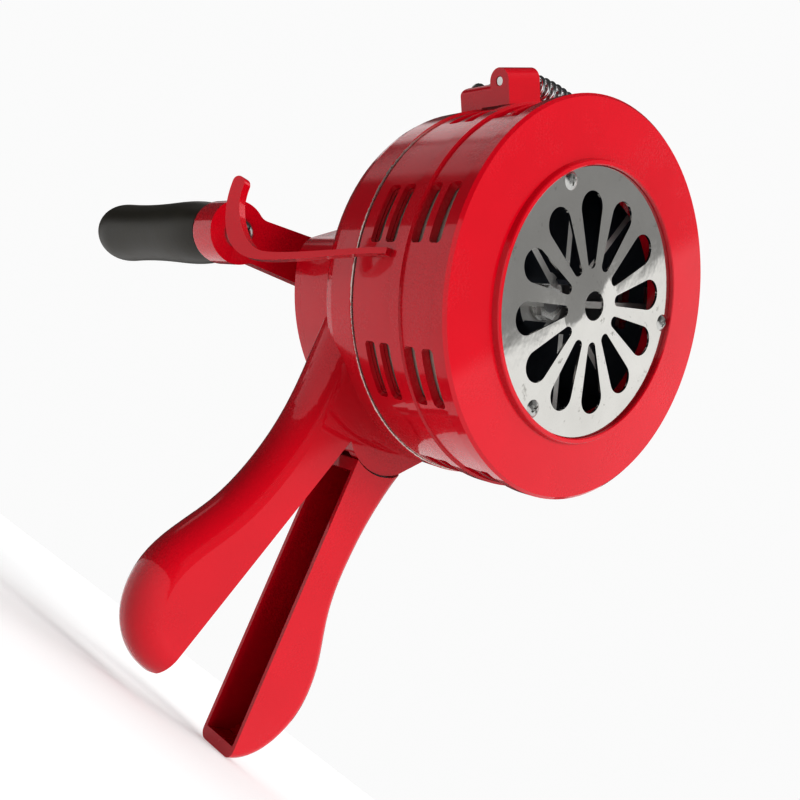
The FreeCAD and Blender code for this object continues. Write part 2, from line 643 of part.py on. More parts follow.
def make_handle():
    """The fixed half of the handle with the skirt that hides the leg's hinge."""
    front, back = val["handle_front"], val["handle_back"]
    radius = val["skirt_radius"]
    first = -math.degrees(math.asin((val["leg_pivot_x"] - val["parting"]) / radius))
    last = val["skirt_angle"]
    closing = [(val["parting"], -213.2), hinge_spot(radius, first),
               (hinge_spot(radius, (first + last) / 2), hinge_spot(radius, last)), (34.0, -70.0), (30.0, -50.0)]
    blank = curved_slab(FIXED_HANDLE_BACK, closing, front, back)
    outer = [edge for edge in blank.Edges if edge.Curve.TypeId == "Part::GeomBSplineCurve"]
    return blank.makeFillet(val["handle_round"], outer)


def leg_pocket():
    """The room inside the skirt that the leg's tongue turns in."""
    front, back = val["tongue_front"] - 0.5, val["tongue_back"] + 0.5
    pivot = leg_pivot()
    room = rod_y(val["tongue_radius"] + 0.8, front, back, pivot)
    reach = val["skirt_radius"] + 6
    half = val["tongue_half"] + 0.6
    sweep = [room]
    for step in range(5):
        angle = -1 + (val["leg_open"] + val["leg_swing"] + 2) * step / 4
        slot = Part.makeBox(2 * half, back - front, reach, Vector(-half, front, -reach))
        slot.rotate(ORIGIN, Y_AXIS, -angle)
        slot.translate(pivot)
        sweep.append(slot)
    return sweep[0].fuse(sweep[1:])


def make_rear_casing():
    """The rear casing: a bulkhead, the drum's rear rim, the gear housing, the fixed handle and bosses."""
    blank = turned("casing_blank", [
        (0, dim["casing_front"]), (dim["casing_radius"] - 0.5, dim["casing_front"]),
        (dim["casing_radius"], dim["casing_front"] + 0.5), (dim["casing_radius"] - 0.4, dim["casing_round"]),
        (dim["casing_radius"] - 1.0, dim["casing_round"] + 2.8), (dim["casing_radius"] - 2.1, dim["casing_round"] + 5.4),
        (dim["casing_radius"] - 3.6, dim["casing_step"] - 0.4), (dim["casing_radius"] - 4.4, dim["casing_step"]),
        (0, dim["casing_step"]),
    ], final=False)
    housing = casing_block(0, val["casing_step"] - 1, val["gear_back"])
    room = rod_y(val["casing_radius"] - 5, val["bulkhead_back"], val["casing_step"] - val["casing_wall"])
    cavity = casing_block(val["gear_wall"], val["casing_step"] - val["casing_wall"] - 0.5, val["gear_back"] + 1)
    handle = make_handle()
    body = document.addObject("Part::MultiFuse", "casing_solid")
    body.Shapes = [blank, solid_feature("gear_housing", housing), solid_feature("handle_blank", handle)]
    hollow = document.addObject("Part::Cut", "casing_hollow")
    hollow.Base = body
    hollow.Tool = solid_feature("casing_room", room.fuse(cavity))
    bosses = [rod_y(val["bearing_hub_radius"], val["casing_front"], val["bearing_hub_back"]),
              rod_y(val["lay_boss_radius"], val["casing_front"], val["lay_boss_back"], lay_axis())]
    bosses += [rod_y(4.2, val["casing_front"], val["gear_back"], spot).common(
        casing_block(1.0, val["casing_front"], val["gear_back"])) for spot in cover_screw_spots()]
    pivot = leg_pivot()
    pivot_wall = handle.common(rod_y(val["hinge_boss"], val["handle_front"], val["handle_back"], pivot))
    joined = document.addObject("Part::MultiFuse", "casing_with_bosses")
    joined.Shapes = [hollow, solid_feature("casing_bosses", Part.makeCompound(bosses[:1]))] + [
        solid_feature("casing_boss_" + str(k), boss) for k, boss in enumerate(bosses[1:] + [pivot_wall])]
    document.recompute()
    tools = [rod_y(val["bearing_radius"], val["casing_front"] - 1, val["bearing_hub_back"] + 1),
             rod_y(val["bearing_bore"] + val["bush_wall"], val["lay_front"] - 0.4, val["lay_boss_back"] + 1,
                   lay_axis()),
             leg_pocket(),
             rod_y(val["leg_pin_radius"] + 0.02, val["handle_front"] + 1.6, val["gear_back"] + 1, pivot)]
    tools += [rod_y(1.65, val["gear_back"] - 12, val["gear_back"] + 1, spot) for spot in cover_screw_spots()]
    tools += [bracket_screw_axis(place) for place in BRACKET_SCREWS]
    cut_from("rear_casing", joined, Part.makeCompound(tools))


def cover_screw_spots():
    """Where the five gear cover screws go."""
    radius = val["gear_top_radius"] - val["gear_wall"]
    low = val["gear_low_radius"] - val["gear_wall"]
    return [round_point(radius, -48), round_point(radius, 48), round_point(low - 2, -133), round_point(low - 2, 133),
            round_point(radius, 0)]


def make_gear_cover():
    """The plate that closes the gear housing, with the crank's long boss and the layshaft's seat."""
    plate = casing_block(0, val["gear_back"] + 0.02, val["gear_back"] + val["cover_plate"])
    boss = rod_y(val["crank_boss_radius"], val["gear_back"] - 2, val["crank_boss_back"])
    lay_boss = rod_y(val["lay_boss_radius"], val["gear_back"] - 2, val["gear_back"] + 7,
                     lay_axis())
    body = plate.fuse([boss, lay_boss]).removeSplitter()
    tools = [rod_y(val["crank_shaft_radius"] + val["crank_bush_wall"], val["gear_back"] - 3, val["crank_boss_back"] + 1),
             rod_y(val["bearing_bore"] + val["bush_wall"], val["gear_back"] - 3, val["lay_back"] + 0.4,
                   lay_axis())]
    tools += [rod_y(1.9, val["gear_back"] - 1, val["gear_back"] + 9, spot) for spot in cover_screw_spots()]
    worked("gear_cover", body.cut(Part.makeCompound(tools)))


def make_cover_screws():
    """Five pan head screws that hold the gear cover."""
    pattern = pan_screw(1.64, 12.0, 3.2, 1.9)
    back = val["gear_back"] + val["cover_plate"] + 0.01
    screw_group("gear_cover_screws", pattern,
                [(Rotation(Vector(0, 0, 1), 180), Vector(spot.x, back, spot.z)) for spot in cover_screw_spots()])


def make_bearings():
    """The rotor's two ball bearings, each an inner ring, an outer ring and eight balls in one node."""
    for label, start in (("front_bearing", val["bearing_a"]), ("rear_bearing", val["bearing_b"])):
        end = start + val["bearing_width"]
        outer = tube_y(val["bearing_radius"] - 0.02, val["bearing_radius"] - 2.4, start, end)
        inner = tube_y(val["bearing_bore"] + 2.4, val["bearing_bore"], start, end)
        shield = tube_y(val["bearing_radius"] - 2.4, val["bearing_bore"] + 2.4, start + 0.8, end - 0.8)
        worked(label, outer.fuse([inner, shield]).removeSplitter())


def make_bushes():
    """Plain bronze bushes for the layshaft and the crank shaft."""
    lay = lay_axis()
    wall = val["bearing_bore"] + val["bush_wall"] - 0.02
    worked("layshaft_front_bush", tube_y(wall, val["bearing_bore"] + 0.03, val["lay_boss_back"] - val["bush_length"],
                                         val["lay_boss_back"], lay))
    worked("layshaft_rear_bush", tube_y(wall, val["bearing_bore"] + 0.03, val["gear_back"] - 2,
                                        val["lay_back"] + 0.38, lay))
    reach = val["crank_bush_length"]
    worked("crank_bush", tube_y(val["crank_shaft_radius"] + val["crank_bush_wall"] - 0.02,
                                val["crank_shaft_radius"] + 0.05, val["crank_boss_back"] - reach, val["crank_boss_back"]))


def make_rotor():
    """The rotor: a hub, a rear disc, straight vanes and a rim with the same rows of ports."""
    front, back = val["rotor_front"], val["rotor_back"]
    radius, rim = val["rotor_radius"], val["rotor_rim"]
    shell = tube_y(radius, radius - rim, front, back)
    disc = tube_y(radius - 1, val["shaft_radius"] + 0.02, back - val["rotor_disc"], back)
    hub = tube_y(val["rotor_hub"], val["shaft_radius"] + 0.02, val["hub_front"], back)
    vane = Part.makeBox(val["vane_thickness"], back - front - 5, radius - val["rotor_hub"] - 1,
                        Vector(-val["vane_thickness"] / 2, front + 4, val["rotor_hub"] - 1))
    step = 360.0 / val["vane_count"]
    vanes = [round_about(vane, step * k + val["vane_turn"]) for k in range(int(val["vane_count"]))]
    body = shell.fuse([disc, hub] + vanes).removeSplitter()
    rows = [val["window_row_a"] + 2.4, val["window_row_b"], val["window_row_c"], val["window_row_d"] - 4.4]
    tools = round_about(window_tools(rows[1:3], radius - rim - 2, radius + 2), 0)
    tools.rotate(ORIGIN, Y_AXIS, step / 2 - 0.0)
    body = body.cut(tools)
    worked("rotor", body)


def make_rotor_shaft():
    """The rotor's shaft, threaded at the front for its nut."""
    turned("rotor_shaft", [(0, dim["rotor_shaft_front"]), (dim["shaft_radius"], dim["rotor_shaft_front"]),
                           (dim["shaft_radius"], dim["rotor_shaft_back"]), (0, dim["rotor_shaft_back"])])


def hex_nut(across, bore, start, height, centre=ORIGIN):
    """A hexagon nut along Y."""
    corner = across / math.sqrt(3)
    points = [(centre.x + corner * math.sin(math.radians(60 * k)), centre.z + corner * math.cos(math.radians(60 * k)))
              for k in range(6)]
    return slab_y(points, start, start + height).cut(rod_y(bore, start - 1, start + height + 1, centre))


def make_rotor_fixings():
    """The nut and washer that clamp the rotor on its shaft."""
    hub_front = val["hub_front"]
    worked("rotor_washer", tube_y(8.0, val["shaft_radius"] + 0.03, hub_front - 1.6, hub_front - 0.02))
    worked("rotor_nut", hex_nut(13.0, val["shaft_radius"] + 0.02, hub_front - 1.62 - 3.4, 3.38))


def make_gears():
    """Two pairs of spur gears in mesh: crank wheel to layshaft pinion, layshaft wheel to rotor pinion."""
    lay = lay_axis()
    wheel, pinion = int(val["wheel_teeth"]), int(val["pinion_teeth"])
    width = val["gear_width"]
    extra = val["pinion_extra"]
    towards_lay = math.radians(val["lay_angle"])
    towards_axis = towards_lay + math.pi
    gap = math.pi / pinion
    worked("crank_gear", spur_gear(wheel, val["crank_shaft_radius"] + 0.01, val["crank_mesh"], width, ORIGIN,
                                   towards_lay))
    worked("layshaft_pinion", spur_gear(pinion, val["bearing_bore"], val["crank_mesh"] - extra,
                                        width + 2 * extra, lay, towards_axis + gap))
    worked("layshaft_gear", spur_gear(wheel, val["bearing_bore"], val["rotor_mesh"], width, lay, towards_axis))
    worked("rotor_pinion", spur_gear(pinion, val["shaft_radius"] + 0.02, val["rotor_mesh"] - extra,
                                     width + extra, ORIGIN, towards_lay + gap))


def lay_axis():
    """Where the layshaft's axis crosses the plane Y = 0."""
    reach = val["gear_module"] * (val["wheel_teeth"] + val["pinion_teeth"]) / 2
    return round_point(reach, val["lay_angle"])


def make_layshaft():
    """The layshaft that carries both middle gears."""
    worked("layshaft", rod_y(val["shaft_radius"], val["lay_front"], val["lay_back"], lay_axis()))


def make_crank_shaft():
    """The crank shaft: a round journal with a thinner thread for the nut behind the arm."""
    turned("crank_shaft", [
        (0, dim["crank_shaft_front"]), (dim["crank_shaft_radius"], dim["crank_shaft_front"]),
        (dim["crank_shaft_radius"], dim["arm_front"] + dim["arm_thickness"]),
        (dim["crank_thread"], dim["arm_front"] + dim["arm_thickness"]),
        (dim["crank_thread"], dim["crank_shaft_back"]), (0, dim["crank_shaft_back"]),
    ])
    gap_front, gap_back = val["crank_boss_back"] + 0.4, val["arm_front"] - 0.02
    worked("crank_collar", tube_y(10.5, val["crank_shaft_radius"] + 0.02, gap_front, gap_back))
    seat = val["arm_front"] + val["arm_thickness"] + 2.02
    worked("crank_washer", tube_y(10.0, val["crank_thread"] + 0.05, seat, seat + 1.6))
    worked("crank_nut", hex_nut(16.0, val["crank_thread"] + 0.01, seat + 1.62, 5.4))


def make_crank_arm():
    """The cast crank arm: a tapered bar between a wide pivot hub and the long hub of the grip."""
    front = val["arm_front"]
    back = front + val["arm_thickness"]
    tip = round_point(val["crank_reach"], val["crank_angle"])
    out = round_point(1.0, val["crank_angle"])
    side = round_point(1.0, val["crank_angle"] + 90)
    corners = [side * val["arm_root"], out * val["crank_reach"] + side * val["arm_tip"],
               out * val["crank_reach"] - side * val["arm_tip_low"], side * (-val["arm_root_low"])]
    bar = slab_y([(corner.x, corner.z) for corner in corners], front, back)
    root_hub = rod_y(val["pivot_hub_radius"], front, back + 2)
    tip_hub = rod_y(val["hub_radius"], front, front + val["hub_length"], tip)
    rear_edge = [edge for edge in tip_hub.Edges if edge.CenterOfMass.y > front + val["hub_length"] - 0.01]
    tip_hub = tip_hub.makeFillet(val["hub_round"], rear_edge)
    body = bar.fuse([root_hub, tip_hub]).removeSplitter()
    inner_corners = [edge for edge in body.Edges if edge.Curve.TypeId == "Part::GeomLine"
                     and abs(abs(edge.tangentAt(edge.FirstParameter).y) - 1) < 0.001
                     and abs(edge.Length - val["arm_thickness"]) < 0.01]
    if inner_corners:
        body = body.makeFillet(6.0, inner_corners)
    tools = [rod_y(val["crank_shaft_radius"] + 0.01, front - 1, back),
             rod_y(val["crank_thread"] + 0.02, back - 1, back + 3),
             rod_y(val["grip_bolt_radius"] + 0.02, front - 1, front + val["hub_length"] + 1, tip)]
    worked("crank_arm", body.cut(Part.makeCompound(tools)))


def make_grip():
    """The turning grip with its long bolt, head washer and end nut."""
    tip = round_point(val["crank_reach"], val["crank_angle"])
    start = val["arm_front"] + val["hub_length"] + 0.5
    end = start + val["grip_length"]
    neck, full = val["grip_neck"], val["grip_radius"]
    profile = Part.BSplineCurve()
    profile.interpolate([Vector(neck, start, 0), Vector(full - 0.5, start + 9, 0), Vector(full - 0.4, start + 40, 0),
                         Vector(full, end - 26, 0), Vector(full - 0.6, end - 10, 0), Vector(full - 4.4, end - 2.2, 0),
                         Vector(5.4, end, 0)])
    edges = [profile.toShape(),
             Part.LineSegment(Vector(5.4, end, 0), Vector(0, end, 0)).toShape(),
             Part.LineSegment(Vector(0, end, 0), Vector(0, start, 0)).toShape(),
             Part.LineSegment(Vector(0, start, 0), Vector(neck, start, 0)).toShape()]
    solid = Part.Face(Part.Wire(edges)).revolve(ORIGIN, Y_AXIS, 360)
    solid.translate(Vector(tip.x, 0, tip.z))
    bolt_end = end - 18
    bore = rod_y(val["grip_bore"], start - 1, bolt_end + 6, tip)
    nut_room = rod_y(6.4, bolt_end - 6.4, bolt_end + 1.0, tip)
    worked("grip", solid.cut(bore.fuse(nut_room)))
    seat = val["arm_front"] - 0.02
    worked("grip_washer", tube_y(6.6, val["grip_bolt_radius"] + 0.03, seat - 1.2, seat, tip))
    head = pan_screw(val["grip_bolt_radius"], bolt_end - seat + 1.22, val["grip_bolt_head"], 4.9)
    head.translate(Vector(tip.x, seat - 1.22, tip.z))
    worked("grip_bolt", head)
    worked("grip_nut", hex_nut(10.0, val["grip_bolt_radius"] + 0.01, bolt_end - 5.4, 5.0, tip))


LEG_BACK = [(18.2, 16.5), (27.0, 13.6), (36.5, 11.2), (48.2, 9.1), (62.1, 7.8), (76.0, 7.6), (87.6, 9.0),
            (98.4, 11.8), (109.5, 14.9), (121.4, 16.3), (133.8, 14.8), (143.8, 10.2), (152.0, 3.0),
            (156.4, -5.4), (157.2, -11.3)]


def make_folding_leg():
    """The folding half of the handle: an open channel whose tongue turns inside the casing's skirt."""
    front, back = val["leg_front"], val["leg_back"]
    wall = val["leg_wall"]
    half = val["leg_half"]
    radius = val["skirt_radius"] + 0.7
    outline = [leg_place(down, out) for down, out in LEG_BACK]
    blank = curved_slab(outline, [leg_place(LEG_BACK[0][0], -half)], front, back)
    outer = [edge for edge in blank.Edges if edge.Curve.TypeId == "Part::GeomBSplineCurve"]
    pivot = leg_pivot()
    blank = blank.makeFillet(val["leg_round"], outer).cut(rod_y(radius, front - 1, back + 1, pivot))
    inner_points = [leg_place(down, out - wall) for down, out in [(28.2, 12.8)] + LEG_BACK[2:-2]]
    channel = curved_slab(inner_points, [leg_place(152.0, -half - 6), leg_place(28.2, -half - 6)],
                          front + wall, back - wall)
    tongue = rod_y(val["tongue_radius"], val["tongue_front"], val["tongue_back"], pivot)
    neck_end = radius + 2.4
    width = val["tongue_half"]
    neck = slab_y([leg_place(0, -width), leg_place(0, width), leg_place(neck_end, width),
                   leg_place(neck_end, -width)], val["tongue_front"], val["tongue_back"])
    body = blank.cut(channel).fuse([tongue, neck]).removeSplitter()
    worked("folding_leg", body.cut(rod_y(val["leg_pin_radius"] + 0.05, front - 1, back + 1, pivot)))
    worked("leg_hinge_pin", rod_y(val["leg_pin_radius"], val["handle_front"] + 1.7, val["gear_back"] - 0.1, pivot))


make_front_cover()
make_grille_plate()
make_grille_screws()
make_stator_drum()
make_shutter_ring()
make_shutter_lever()
make_lever_rivets()
make_spring_bracket()
make_bracket_screws()
make_return_spring()
make_spring_rod()
make_rear_casing()
make_gear_cover()
make_cover_screws()
make_bearings()
make_bushes()
make_rotor()
make_rotor_shaft()
make_rotor_fixings()
make_gears()
make_layshaft()
make_crank_shaft()
make_crank_arm()
make_grip()
make_folding_leg()

document.recompute()
for item in document.Objects:
    if "Invalid" in item.State or "Error" in item.State:
        raise RuntimeError(item.Name + " failed: " + ", ".join(item.State))
for item in subparts:
    if item.Shape.isNull() or not item.Shape.isValid():
        raise RuntimeError(item.Label + " has no valid shape")
os.makedirs("parts", exist_ok=True)
for item in subparts:
    item.Shape.exportStep(os.path.join("parts", item.Label + ".step"))
    box = item.Shape.BoundBox
    print("%-22s solids %d  volume %9.1f  X %.1f..%.1f  Y %.1f..%.1f  Z %.1f..%.1f"
          % (item.Label, len(item.Shape.Solids), item.Shape.Volume, box.XMin, box.XMax, box.YMin, box.YMax,
             box.ZMin, box.ZMax))
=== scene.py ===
"""Looks of the hand crank siren: enamel, polished grille, plated steel, castings and plastic grip.

Metres, in the part's own frame: the origin is the middle of the front face, the drum's axis runs
along Y with the front facing -Y, and +Z is up.
"""
import json
import math

import bpy
import numpy as np
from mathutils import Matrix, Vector

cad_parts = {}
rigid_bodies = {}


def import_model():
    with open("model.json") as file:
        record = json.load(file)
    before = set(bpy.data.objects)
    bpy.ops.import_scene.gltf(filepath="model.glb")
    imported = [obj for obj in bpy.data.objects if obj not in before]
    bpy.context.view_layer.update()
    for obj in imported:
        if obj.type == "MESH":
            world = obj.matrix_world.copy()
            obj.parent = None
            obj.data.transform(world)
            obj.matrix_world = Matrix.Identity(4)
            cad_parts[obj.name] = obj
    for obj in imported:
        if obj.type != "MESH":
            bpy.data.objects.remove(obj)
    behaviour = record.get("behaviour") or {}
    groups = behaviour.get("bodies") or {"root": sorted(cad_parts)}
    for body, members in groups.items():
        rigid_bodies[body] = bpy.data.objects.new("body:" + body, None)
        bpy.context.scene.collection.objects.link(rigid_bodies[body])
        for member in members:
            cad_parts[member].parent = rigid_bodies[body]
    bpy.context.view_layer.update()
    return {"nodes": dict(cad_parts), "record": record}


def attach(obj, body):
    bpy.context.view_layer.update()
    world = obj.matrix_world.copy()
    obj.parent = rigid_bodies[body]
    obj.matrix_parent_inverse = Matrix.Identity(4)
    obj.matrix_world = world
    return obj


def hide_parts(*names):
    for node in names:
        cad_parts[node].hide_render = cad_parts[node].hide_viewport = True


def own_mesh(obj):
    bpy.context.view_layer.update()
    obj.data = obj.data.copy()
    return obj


MM = 0.001
SEAM_Y = 0.05535
SEAM_HALF_WIDTH = 0.00055
DRUM_REACH = 0.081
ROTOR_RIM = 0.0735
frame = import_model()
for thing in list(bpy.data.objects):
    if thing.type in ("LIGHT", "CAMERA"):
        bpy.data.objects.remove(thing)


class Wire:
    """A shader socket or a plain number, so that maths on it adds Math nodes."""

    def __init__(self, graph, socket):
        self.graph = graph
        self.socket = socket

    def apply(self, operation, first, second=None):
        """A Math node on one or two values."""
        node = self.graph.tree.nodes.new("ShaderNodeMath")
        node.operation = operation
        self.graph.plug(node.inputs[0], first)
        if second is not None:
            self.graph.plug(node.inputs[1], second)
        return Wire(self.graph, node.outputs[0])

    def __add__(self, other):
        return self.apply("ADD", self, other)

    def __radd__(self, other):
        return self.apply("ADD", other, self)

    def __sub__(self, other):
        return self.apply("SUBTRACT", self, other)

    def __rsub__(self, other):
        return self.apply("SUBTRACT", other, self)

    def __mul__(self, other):
        return self.apply("MULTIPLY", self, other)

    def __rmul__(self, other):
        return self.apply("MULTIPLY", other, self)

    def __pow__(self, other):
        return self.apply("POWER", self, other)

    def __abs__(self):
        return self.apply("ABSOLUTE", self)


class Graph:
    """A material, or the studio round it, being written as a graph of nodes."""

    def __init__(self, name, owners=bpy.data.materials):
        self.owner = owners.new(name)
        self.owner.use_nodes = True
        self.tree = self.owner.node_tree
        self.tree.nodes.clear()
        self.place = self.node("TexCoord")["Object"]

    def plug(self, socket, value):
        """Join a wire to a socket, or write a plain value on it."""
        if isinstance(value, Wire):
            self.tree.links.new(value.socket, socket)
        else:
            socket.default_value = value

    def node(self, kind, settings=None, **inputs):
        """Add a node of any kind; returns its outputs by name as wires."""
        node = self.tree.nodes.new("ShaderNode" + kind)
        for key, value in (settings or {}).items():
            setattr(node, key, value)
        for key, value in inputs.items():
            self.plug(node.inputs[key.replace("_", " ")], value)
        return {output.name: Wire(self, output) for output in node.outputs if output.enabled}

    def noise(self, scale, detail=2.0, roughness=0.5, place=None):
        """Cloudy values round a half, with features of about one over scale, in metres."""
        return self.node("TexNoise", Vector=place or self.place, Scale=scale, Detail=detail,
                         Roughness=roughness)["Fac"]

    def ramp(self, low, high, value):
        """0 below low, 1 above high, smooth between."""
        return self.node("MapRange", {"interpolation_type": "SMOOTHSTEP"}, Value=value, From_Min=low,
                         From_Max=high)["Result"]

    def mix_colour(self, share, first, second):
        """The first colour where share is 0, the second where it is 1."""
        node = self.tree.nodes.new("ShaderNodeMix")
        node.data_type = "RGBA"
        self.plug(node.inputs[0], share)
        self.plug(node.inputs[6], first)
        self.plug(node.inputs[7], second)
        return Wire(self, node.outputs[2])

    def bump(self, height, distance):
        """A normal for relief that is as high as distance, in metres."""
        return self.node("Bump", Height=height, Distance=distance)["Normal"]

    def surface(self, **inputs):
        """The finished shader with its inputs, joined to the material's output."""
        shader = self.node("BsdfPrincipled", None, **inputs)["BSDF"]
        self.node("OutputMaterial", Surface=shader)
        return self.owner


def colour(red, green, blue):
    """An opaque colour in linear light."""
    return (red, green, blue, 1.0)


def red_paint():
    """Thick glossy enamel: orange peel, patches of coarse dimples, and bare metal chipped along the lower
    left of the drum's seam.
    """
    g = Graph("red_enamel")
    drift = g.noise(24.0, 3.0)
    dimples = g.ramp(0.35, 0.7, g.noise(900.0)) * g.ramp(0.48, 0.62, g.noise(30.0, 3.0))
    rubs = g.ramp(0.58, 0.72, g.noise(60.0, 5.0, 0.6))
    x, y, z = g.node("SeparateXYZ", Vector=g.place).values()
    reach = (x * x + z * z) ** 0.5
    ragged = g.noise(700.0, 3.0) * 0.0008 + g.noise(40.0, 3.0) * 0.0009 - 0.00075
    chipped = g.ramp(SEAM_HALF_WIDTH, 0.0003, abs(y - SEAM_Y) + ragged)
    chipped = chipped * g.ramp(DRUM_REACH, DRUM_REACH - 0.0002, reach) * g.ramp(0.03, -0.01, z)
    shade = g.mix_colour(drift, colour(0.46, 0.001, 0.011), colour(0.58, 0.002, 0.018))
    shade = g.mix_colour(chipped, shade, colour(0.62, 0.58, 0.54))
    return g.surface(Base_Color=shade, Metallic=chipped * 0.8, Roughness=0.24 + rubs * 0.08 + dimples * 0.1,
                     Coat_Weight=0.9 - chipped * 0.9, Coat_Roughness=0.05, Specular_IOR_Level=0.12,
                     Normal=g.bump(g.noise(420.0) + drift * 0.5 - dimples * 1.6, 0.00006))


def polished_steel():
    """Stamped stainless plate: nearly a mirror, with faint streaks, smears and a few dull spots."""
    g = Graph("polished_plate")
    streaks = g.noise(1.0, 3.0, 0.5, g.node("Mapping", Vector=g.place, Scale=(60.0, 60.0, 900.0))["Vector"])
    smear = g.noise(38.0, 4.0)
    spots = g.ramp(0.60, 0.74, g.noise(170.0, 4.0, 0.7))
    shade = g.mix_colour(smear, colour(0.66, 0.65, 0.62), colour(0.84, 0.83, 0.80))
    shade = g.mix_colour(spots * 0.5, shade, colour(0.30, 0.29, 0.26))
    rough = 0.05 + streaks * 0.05 + smear * 0.04 + spots * 0.12
    return g.surface(Base_Color=shade, Metallic=1.0, Roughness=rough, Normal=g.bump(smear, 0.00022))


def plated_steel():
    """Zinc plated fasteners: bright with a slightly clouded plating."""
    g = Graph("plated_fastener")
    cloud = g.noise(260.0, 4.0)
    shade = g.mix_colour(cloud, colour(0.50, 0.50, 0.49), colour(0.72, 0.72, 0.70))
    return g.surface(Base_Color=shade, Metallic=1.0, Roughness=0.16 + cloud * 0.16,
                     Normal=g.bump(cloud, 0.00003))


def cast_rotor():
    """The rotor: dark blue-grey castings, bright machined front edges and a warm grey turned rim."""
    g = Graph("cast_rotor")
    grain = g.noise(900.0, 3.0)
    stain = g.noise(45.0, 5.0, 0.6)
    x, y, z = g.node("SeparateXYZ", Vector=g.place).values()
    rim = g.ramp(ROTOR_RIM, ROTOR_RIM + 0.001, (x * x + z * z) ** 0.5)
    turned = g.ramp(-0.86, -0.95, g.node("SeparateXYZ", Vector=g.node("TexCoord")["Normal"])["Y"])
    shade = g.mix_colour(stain, colour(0.055, 0.065, 0.085), colour(0.13, 0.15, 0.19))
    shade = g.mix_colour(turned, shade, colour(0.62, 0.62, 0.60))
    shade = g.mix_colour(rim, shade, g.mix_colour(stain, colour(0.42, 0.36, 0.31), colour(0.56, 0.50, 0.44)))
    return g.surface(Base_Color=shade, Metallic=0.7 - rim * 0.35, Roughness=0.32 + grain * 0.2 + rim * 0.1,
                     Normal=g.bump(grain + stain, 0.0001))


def drawn_metal(name, low, high, rough):
    """Drawn or turned metal with a fine grain, and a colour that wanders from low to high."""
    g = Graph(name)
    grain = g.noise(1400.0)
    wear = g.noise(120.0, 4.0)
    return g.surface(Base_Color=g.mix_colour(wear, low, high), Metallic=1.0, Roughness=rough + grain * 0.12,
                     Normal=g.bump(grain, 0.00001))


def grip_plastic():
    """Moulded grip: near black with a brown-green cast, softly polished by hands."""
    g = Graph("grip_moulding")
    mottle = g.noise(90.0, 4.0)
    shade = g.mix_colour(mottle, colour(0.014, 0.012, 0.008), colour(0.030, 0.026, 0.016))
    return g.surface(Base_Color=shade, Roughness=0.34 + mottle * 0.12, Specular_IOR_Level=0.35,
                     Normal=g.bump(g.noise(500.0, 3.0), 0.00003))


MATERIALS = {
    "red_paint": red_paint(),
    "polished_steel": polished_steel(),
    "plated_steel": plated_steel(),
    "cast_aluminium": cast_rotor(),
    "spring_steel": drawn_metal("spring_wire", colour(0.66, 0.66, 0.67),
                                colour(0.85, 0.85, 0.86), 0.08),
    "bronze": drawn_metal("sintered_bronze", colour(0.36, 0.24, 0.12), colour(0.52, 0.36, 0.18), 0.34),
    "gear_steel": drawn_metal("oiled_steel", colour(0.26, 0.26, 0.27), colour(0.42, 0.42, 0.42), 0.24),
    "grip_plastic": grip_plastic(),
}


def dress_frame():
    """Give every CAD node its slot's material."""
    for part in frame["record"]["subparts"]:
        node = frame["nodes"][part["node"]]
        node.data.materials.clear()
        node.data.materials.append(MATERIALS[part["material_slot"]])


dress_frame()


SPRING_CIRCLE = 90.0 * MM
SPRING_COIL = 4.4 * MM
SPRING_WIRE = 0.85 * MM
SPRING_ROW = 45.2 * MM
SPRING_TURNS = 19
SPRING_ANGLES = (-42.6, 2.0)
SPRING_SHARES = (0.022, 0.978)
STEPS_PER_TURN = 26
SIDES_OF_WIRE = 12


def coil_mesh():
    """A wire coiled along an arc round the drum.

    The arc has the radius SPRING_CIRCLE round the drum's axis and lies at Y = SPRING_ROW. Its angles are
    counted from +Z towards +X. Round the arc the wire's middle circles at the radius SPRING_COIL, and the
    wire is a round tube. The spring is the part of the arc between the two SPRING_SHARES.
    """
    count = SPRING_TURNS * STEPS_PER_TURN + 1
    share = np.linspace(*SPRING_SHARES, count)
    first, last = SPRING_ANGLES
    angle = np.radians(first + (last - first) * share)
    phase = 2 * np.pi * SPRING_TURNS * share
    out = np.stack([np.sin(angle), np.zeros(count), np.cos(angle)], 1)
    back = np.array([0.0, 1.0, 0.0])
    spoke = out * np.cos(phase)[:, None] + back * np.sin(phase)[:, None]
    middle = out * SPRING_CIRCLE + back * SPRING_ROW + spoke * SPRING_COIL
    run = np.gradient(middle, axis=0)
    run /= np.linalg.norm(run, axis=1)[:, None]
    side = np.cross(run, spoke)
    side /= np.linalg.norm(side, axis=1)[:, None]
    up = np.cross(side, run)
    ring = SIDES_OF_WIRE
    turn = np.linspace(0, 2 * np.pi, ring, endpoint=False)[None, :, None]
    grid = middle[:, None] + SPRING_WIRE * (np.cos(turn) * up[:, None] + np.sin(turn) * side[:, None])
    quads = []
    for i in range(count - 1):
        for j in range(ring):
            k = (j + 1) % ring
            quads.append((i * ring + j, i * ring + k, (i + 1) * ring + k, (i + 1) * ring + j))
    caps = [tuple(range(ring))[::-1], tuple(range((count - 1) * ring, count * ring))]
    mesh = bpy.data.meshes.new("return_spring_coil")
    mesh.from_pydata(grid.reshape(-1, 3).tolist(), [], quads + caps)
    mesh.polygons.foreach_set("use_smooth", [True] * len(quads) + [False] * len(caps))
    mesh.materials.append(MATERIALS["spring_steel"])
    return mesh


def add_spring():
    """The return spring as a fixed coil carried with the housing; it is not made to shorten as the ring's
    lug comes towards the bracket.
    """
    spring = bpy.data.objects.new("return_spring_coil", coil_mesh())
    bpy.context.scene.collection.objects.link(spring)
    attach(spring, "housing")
    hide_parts("return_spring")
    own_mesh(spring)


add_spring()

